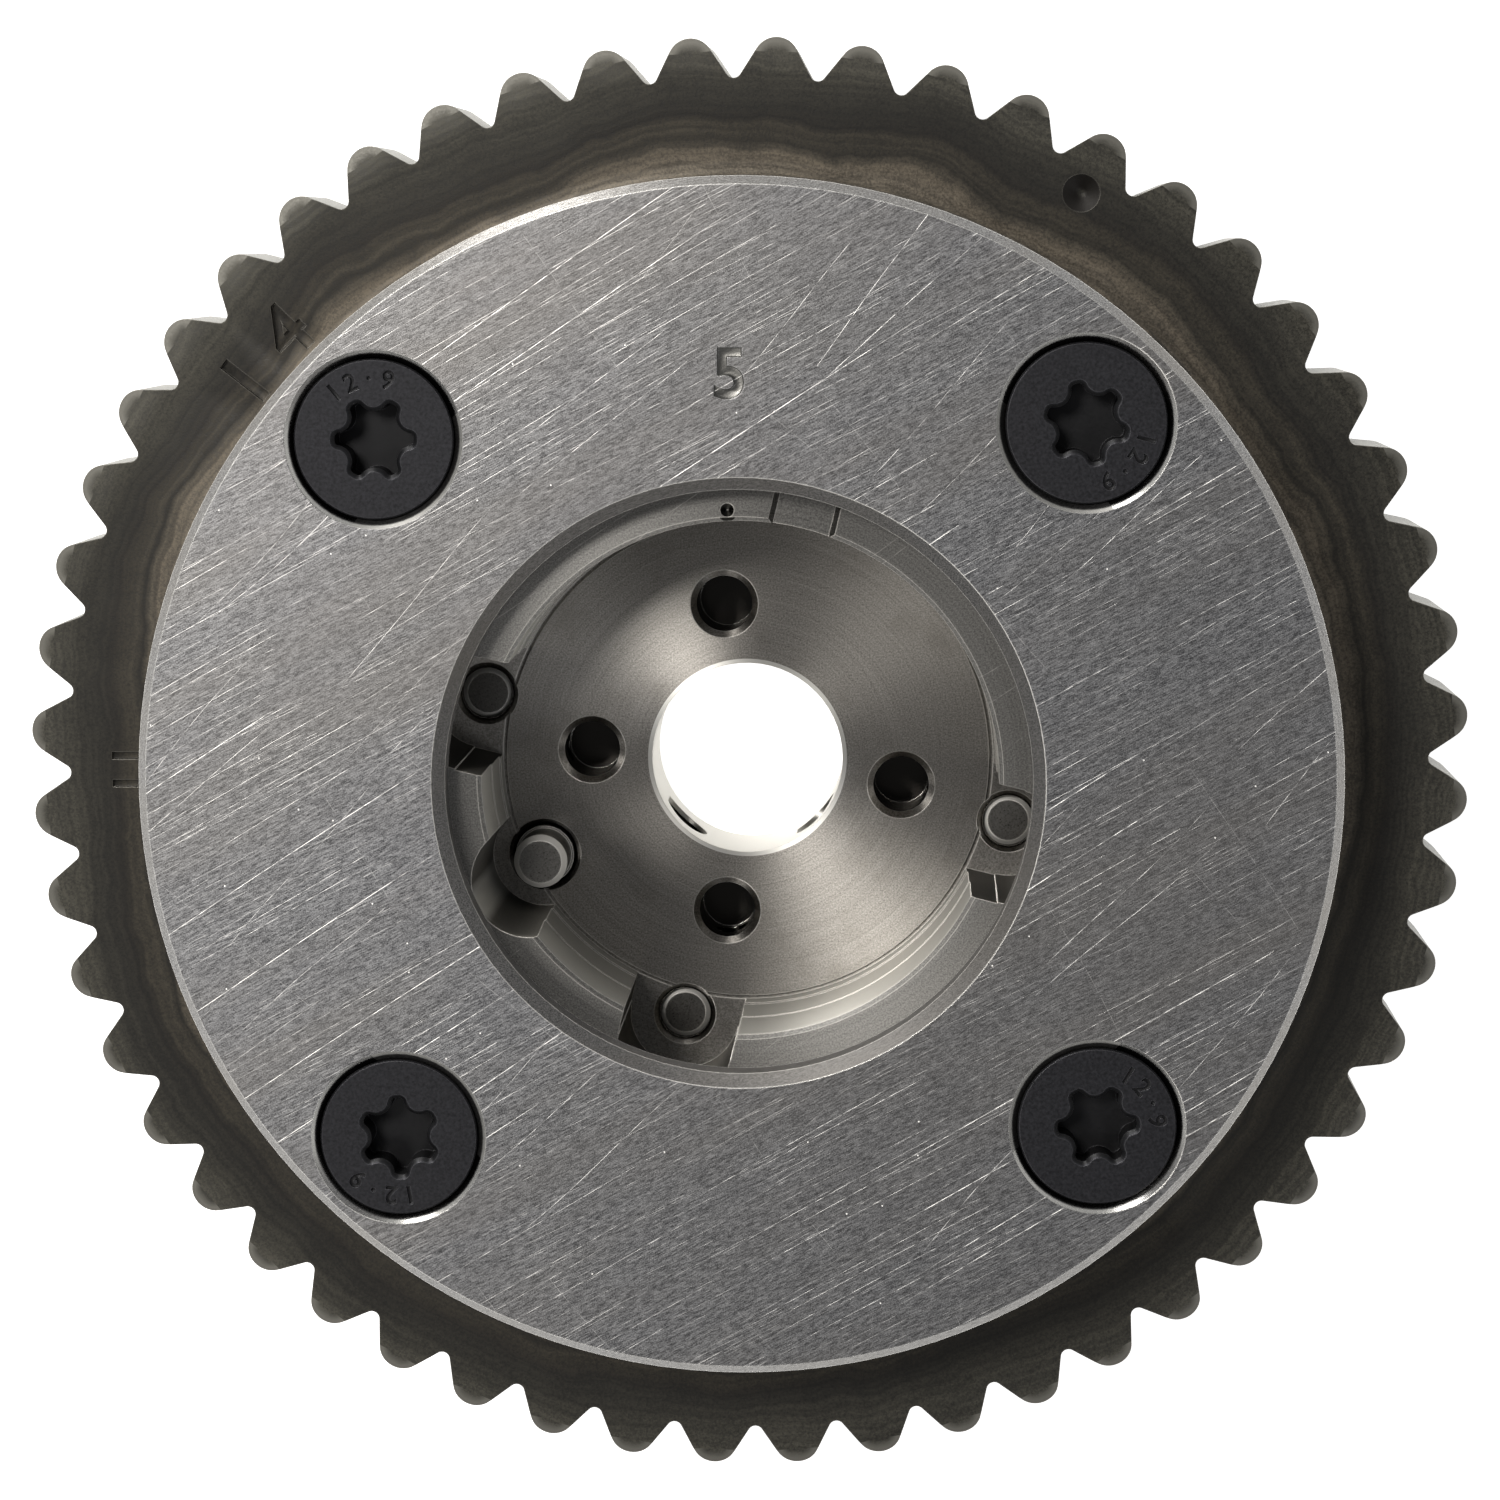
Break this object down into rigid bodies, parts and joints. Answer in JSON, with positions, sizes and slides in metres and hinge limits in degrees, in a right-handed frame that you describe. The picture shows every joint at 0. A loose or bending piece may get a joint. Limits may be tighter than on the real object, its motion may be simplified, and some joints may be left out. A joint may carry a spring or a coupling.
{
  "type": "camshaft sprocket",
  "caption": "Camshaft timing sprocket for an inverted-tooth chain, with a vane phaser inside: the toothed ring turns about an oil-fed rotor that seats on the camshaft's nose.",
  "frame": {"origin": "on the axis, at the face in the rotor that the camshaft's nose seats on", "axes": "+Z along the axis toward the camshaft, +X and +Y across it, with the first cover screw 46.4 degrees from +X"},
  "size_m": [0.1054, 0.1054, 0.0265],
  "materials": {
    "sintered_steel": "sintered, steam treated, induction-hardened teeth",
    "ground_steel": "ground with fine scratches",
    "turned_steel": "turned",
    "hardened_steel": "hardened and ground",
    "spring_steel": "drawn wire and strip",
    "black_screw": "black oxide",
    "seal_plastic": "moulded bearing plastic"
  },
  "bodies": {
    "housing": {"sprocket_housing": "sintered_steel", "cover_plate": "ground_steel", "end_plate": "ground_steel", "lock_pin_seat": "hardened_steel", "cover_screw_1": "black_screw", "cover_screw_2": "black_screw", "cover_screw_3": "black_screw", "cover_screw_4": "black_screw"},
    "rotor": {"rotor": "turned_steel", "camshaft_dowel": "hardened_steel", "lock_pin_spring": "spring_steel", "spring_guide": "hardened_steel", "hub_pin_1": "hardened_steel", "hub_pin_2": "hardened_steel", "hub_pin_3": "hardened_steel", "vane_seal_1": "seal_plastic", "vane_seal_2": "seal_plastic", "vane_seal_3": "seal_plastic", "vane_seal_4": "seal_plastic", "seal_spring_1": "spring_steel", "seal_spring_2": "spring_steel", "seal_spring_3": "spring_steel", "seal_spring_4": "spring_steel"},
    "lock_pin": {"lock_pin": "hardened_steel"}
  },
  "joints": [
    {"name": "rotor_turn", "type": "hinge", "parent": "housing", "child": "rotor", "pos_m": [0, 0, 0], "axis": [0, 0, 1], "range_deg": [0, 30]},
    {"name": "lock_pin_slide", "type": "slide", "parent": "rotor", "child": "lock_pin", "axis": [0, 0, 1], "range_m": [0, 0.0025], "stiffness_N_per_m": 300, "springref_m": -0.003, "deforming": ["lock_pin_spring"]}
  ]
}
